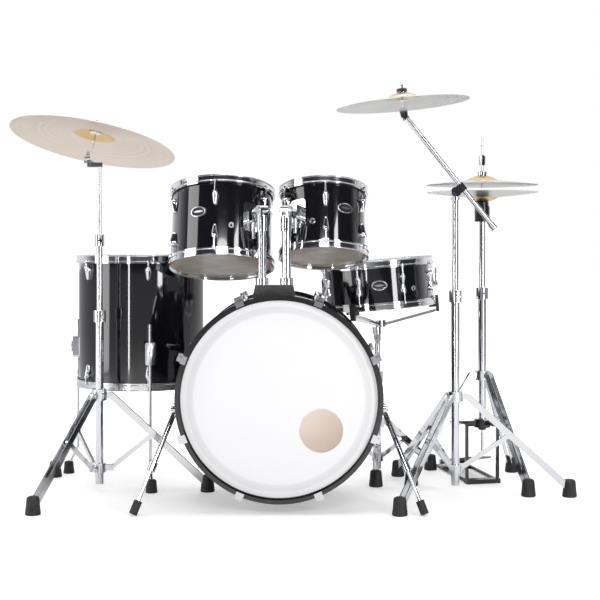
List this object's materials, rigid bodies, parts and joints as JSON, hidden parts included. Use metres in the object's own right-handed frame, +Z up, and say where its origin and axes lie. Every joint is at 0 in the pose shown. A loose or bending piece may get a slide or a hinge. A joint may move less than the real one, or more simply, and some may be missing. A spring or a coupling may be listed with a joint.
{
  "type": "acoustic drum kit",
  "caption": "Acoustic drum kit with a bass drum, hung toms, floor tom, snare drum, hi-hat, crash and ride on adjustable stands.",
  "frame": {"origin": "on the floor under the middle of the whole kit", "axes": "+Z up, -Y towards the audience, +Y towards the drummer, +X across the kit towards the hi-hat"},
  "size_m": [1.7264, 0.8334, 1.2599],
  "materials": {
    "black_wrap": "gloss black covering on a wooden shell",
    "black_wood": "gloss black lacquer",
    "drum_head": "white coated film",
    "chrome": "bright plated steel",
    "cymbal_bronze": "lathed bronze",
    "black_casting": "satin black casting"
  },
  "bodies": {
    "kit": {"bass_shell": "black_wrap", "bass_hoops": "black_wood", "bass_front_head": "drum_head", "bass_batter_head": "drum_head", "bass_claws": "chrome", "bass_lugs": "chrome", "tom_bracket": "chrome", "floor_tom_shell": "black_wrap", "floor_tom_heads": "drum_head", "floor_tom_hoops": "chrome", "floor_tom_lugs": "chrome", "floor_tom_brackets": "chrome", "snare_stand_base": "chrome", "ride_stand_tube": "chrome", "boom_stand_base": "chrome", "hihat_base": "chrome"},
    "left_spur": {"spur_left": "chrome"},
    "right_spur": {"spur_right": "chrome"},
    "large_tom_holder": {"large_tom_post": "chrome"},
    "large_tom": {"large_tom_shell": "black_wrap", "large_tom_heads": "drum_head", "large_tom_hoops": "chrome", "large_tom_lugs": "chrome", "large_tom_mount": "chrome"},
    "small_tom_holder": {"small_tom_post": "chrome"},
    "small_tom": {"small_tom_shell": "black_wrap", "small_tom_heads": "drum_head", "small_tom_hoops": "chrome", "small_tom_lugs": "chrome", "small_tom_mount": "chrome"},
    "floor_leg_1": {"floor_tom_leg_1": "chrome"},
    "floor_leg_2": {"floor_tom_leg_2": "chrome"},
    "floor_leg_3": {"floor_tom_leg_3": "chrome"},
    "snare_post": {"snare_stand_post": "chrome"},
    "snare": {"snare_basket": "chrome", "snare_shell": "black_wrap", "snare_heads": "drum_head", "snare_hoops": "chrome", "snare_lugs": "chrome"},
    "throw_off": {"snare_lever": "chrome"},
    "ride_slider": {"ride_collar": "chrome"},
    "ride_tripod_leg_1": {"ride_leg_1": "chrome"},
    "ride_tripod_leg_2": {"ride_leg_2": "chrome"},
    "ride_tripod_leg_3": {"ride_leg_3": "chrome"},
    "ride_tripod_brace_1": {"ride_brace_1": "chrome"},
    "ride_tripod_brace_2": {"ride_brace_2": "chrome"},
    "ride_tripod_brace_3": {"ride_brace_3": "chrome"},
    "ride_middle": {"ride_mid_tube": "chrome"},
    "ride_upper": {"ride_upper_tube": "chrome"},
    "ride_head": {"ride_tilter": "chrome"},
    "ride": {"ride_cymbal": "cymbal_bronze"},
    "boom_upper": {"boom_upper_tube": "chrome"},
    "boom": {"boom_arm": "chrome"},
    "crash_head": {"crash_tilter": "chrome"},
    "crash": {"crash_cymbal": "cymbal_bronze"},
    "hihat_upper": {"hihat_tube": "chrome", "hihat_lower_cymbal": "cymbal_bronze"},
    "hihat_pedal": {"hihat_footboard": "black_casting"},
    "hihat_pull": {"hihat_rod": "chrome", "hihat_upper_cymbal": "cymbal_bronze"}
  },
  "joints": [
    {"name": "left_spur_fold", "type": "hinge", "parent": "kit", "child": "left_spur", "pos_m": [-0.3379, -0.2708, 0.285], "axis": [-1, 0, 0], "range_deg": [0, 65]},
    {"name": "right_spur_fold", "type": "hinge", "parent": "kit", "child": "right_spur", "pos_m": [0.2699, -0.2708, 0.285], "axis": [-1, 0, 0], "range_deg": [0, 65]},
    {"name": "large_tom_swivel", "type": "hinge", "parent": "kit", "child": "large_tom_holder", "pos_m": [-0.086, -0.2608, 0.6485], "axis": [0, 0, 1], "range_deg": [0, 35]},
    {"name": "large_tom_tilt", "type": "hinge", "parent": "large_tom_holder", "child": "large_tom", "pos_m": [-0.086, -0.2608, 0.868], "axis": [0.8, 0.6, 0], "range_deg": [0, 15]},
    {"name": "small_tom_swivel", "type": "hinge", "parent": "kit", "child": "small_tom_holder", "pos_m": [-0.014, -0.2608, 0.6485], "axis": [0, 0, 1], "range_deg": [-35, 0]},
    {"name": "small_tom_tilt", "type": "hinge", "parent": "small_tom_holder", "child": "small_tom", "pos_m": [-0.014, -0.2608, 0.868], "axis": [0.8076, -0.5898, 0], "range_deg": [0, 15]},
    {"name": "floor_leg_1_height", "type": "slide", "parent": "kit", "child": "floor_leg_1", "axis": [0, 0, 1], "range_m": [0, 0.1]},
    {"name": "floor_leg_2_height", "type": "slide", "parent": "kit", "child": "floor_leg_2", "axis": [0, 0, 1], "range_m": [0, 0.1]},
    {"name": "floor_leg_3_height", "type": "slide", "parent": "kit", "child": "floor_leg_3", "axis": [0, 0, 1], "range_m": [0, 0.1]},
    {"name": "snare_height", "type": "slide", "parent": "kit", "child": "snare_post", "axis": [0, 0, 1], "range_m": [-0.02, 0.08]},
    {"name": "snare_tilt", "type": "hinge", "parent": "snare_post", "child": "snare", "pos_m": [0.284, 0.2292, 0.452], "axis": [0, 1, 0], "range_deg": [-2, 9]},
    {"name": "snare_throw_off", "type": "hinge", "parent": "snare", "child": "throw_off", "pos_m": [0.4785, 0.2292, 0.63726], "axis": [0, 1, 0], "range_deg": [0, 85]},
    {"name": "ride_tripod_fold", "type": "slide", "parent": "kit", "child": "ride_slider", "axis": [0, 0, 1], "range_m": [0, 0.04]},
    {"name": "ride_leg_1_fold", "type": "hinge", "parent": "ride_slider", "child": "ride_tripod_leg_1", "pos_m": [-0.60721, -0.11843, 0.302], "axis": [0.9063, -0.4226, 0], "range_deg": [0, 9.17]},
    {"name": "ride_leg_2_fold", "type": "hinge", "parent": "ride_slider", "child": "ride_tripod_leg_2", "pos_m": [-0.55614, -0.08266, 0.302], "axis": [-0.0872, 0.9962, 0], "range_deg": [0, 9.17]},
    {"name": "ride_leg_3_fold", "type": "hinge", "parent": "ride_slider", "child": "ride_tripod_leg_3", "pos_m": [-0.61265, -0.05631, 0.302], "axis": [-0.8192, -0.5736, 0], "range_deg": [0, 9.17]},
    {"name": "ride_brace_1_fold", "type": "hinge", "parent": "kit", "child": "ride_tripod_brace_1", "pos_m": [-0.60721, -0.11843, 0.08], "axis": [0.9063, -0.4226, 0], "range_deg": [-10.66, 0]},
    {"name": "ride_brace_2_fold", "type": "hinge", "parent": "kit", "child": "ride_tripod_brace_2", "pos_m": [-0.55614, -0.08266, 0.08], "axis": [-0.0872, 0.9962, 0], "range_deg": [-10.66, 0]},
    {"name": "ride_brace_3_fold", "type": "hinge", "parent": "kit", "child": "ride_tripod_brace_3", "pos_m": [-0.61265, -0.05631, 0.08], "axis": [-0.8192, -0.5736, 0], "range_deg": [-10.66, 0]},
    {"name": "ride_middle_height", "type": "slide", "parent": "kit", "child": "ride_middle", "axis": [0, 0, 1], "range_m": [-0.03, 0.12]},
    {"name": "ride_upper_height", "type": "slide", "parent": "ride_middle", "child": "ride_upper", "axis": [0, 0, 1], "range_m": [-0.03, 0.12]},
    {"name": "ride_tilt", "type": "hinge", "parent": "ride_upper", "child": "ride_head", "pos_m": [-0.62, -0.0858, 1.034], "axis": [-0.7757, 0.6312, 0], "range_deg": [-12, 12]},
    {"name": "ride_spin", "type": "hinge", "parent": "ride_head", "child": "ride", "pos_m": [-0.60527, -0.0677, 1.12299], "axis": [0.1601, 0.1968, 0.9673], "continuous": true},
    {"name": "boom_height", "type": "slide", "parent": "kit", "child": "boom_upper", "axis": [0, 0, 1], "range_m": [-0.04, 0.12]},
    {"name": "boom_angle", "type": "hinge", "parent": "boom_upper", "child": "boom", "pos_m": [0.501, -0.1298, 0.927], "axis": [0, 1, 0], "range_deg": [-12, 20]},
    {"name": "crash_tilt", "type": "hinge", "parent": "boom", "child": "crash_head", "pos_m": [0.34164, -0.1298, 1.1619], "axis": [0, 1, 0], "range_deg": [-12, 12]},
    {"name": "crash_spin", "type": "hinge", "parent": "crash_head", "child": "crash", "pos_m": [0.33571, -0.1298, 1.22964], "axis": [-0.0872, 0, 0.9962], "continuous": true},
    {"name": "hihat_height", "type": "slide", "parent": "kit", "child": "hihat_upper", "axis": [0, 0, 1], "range_m": [0, 0.08]},
    {"name": "hihat_pedal_press", "type": "hinge", "parent": "kit", "child": "hihat_pedal", "pos_m": [0.55154, 0.35895, 0.022], "axis": [0.9781, 0.2079, 0], "range_deg": [0, 4.5], "stiffness_Nm_per_rad": 30, "springref_deg": -17.19},
    {"name": "hihat_pull_travel", "type": "slide", "parent": "hihat_upper", "child": "hihat_pull", "axis": [0, 0, -1], "range_m": [0, 0.022]}
  ],
  "couplings": [
    {"joint": "ride_leg_1_fold", "follows": "ride_tripod_fold", "rad_per_m": 3.872},
    {"joint": "ride_leg_2_fold", "follows": "ride_tripod_fold", "rad_per_m": 3.872},
    {"joint": "ride_leg_3_fold", "follows": "ride_tripod_fold", "rad_per_m": 3.872},
    {"joint": "ride_brace_1_fold", "follows": "ride_tripod_fold", "rad_per_m": -4.5195},
    {"joint": "ride_brace_2_fold", "follows": "ride_tripod_fold", "rad_per_m": -4.5195},
    {"joint": "ride_brace_3_fold", "follows": "ride_tripod_fold", "rad_per_m": -4.5195},
    {"joint": "hihat_pull_travel", "follows": "hihat_pedal_press", "m_per_rad": 0.262}
  ]
}
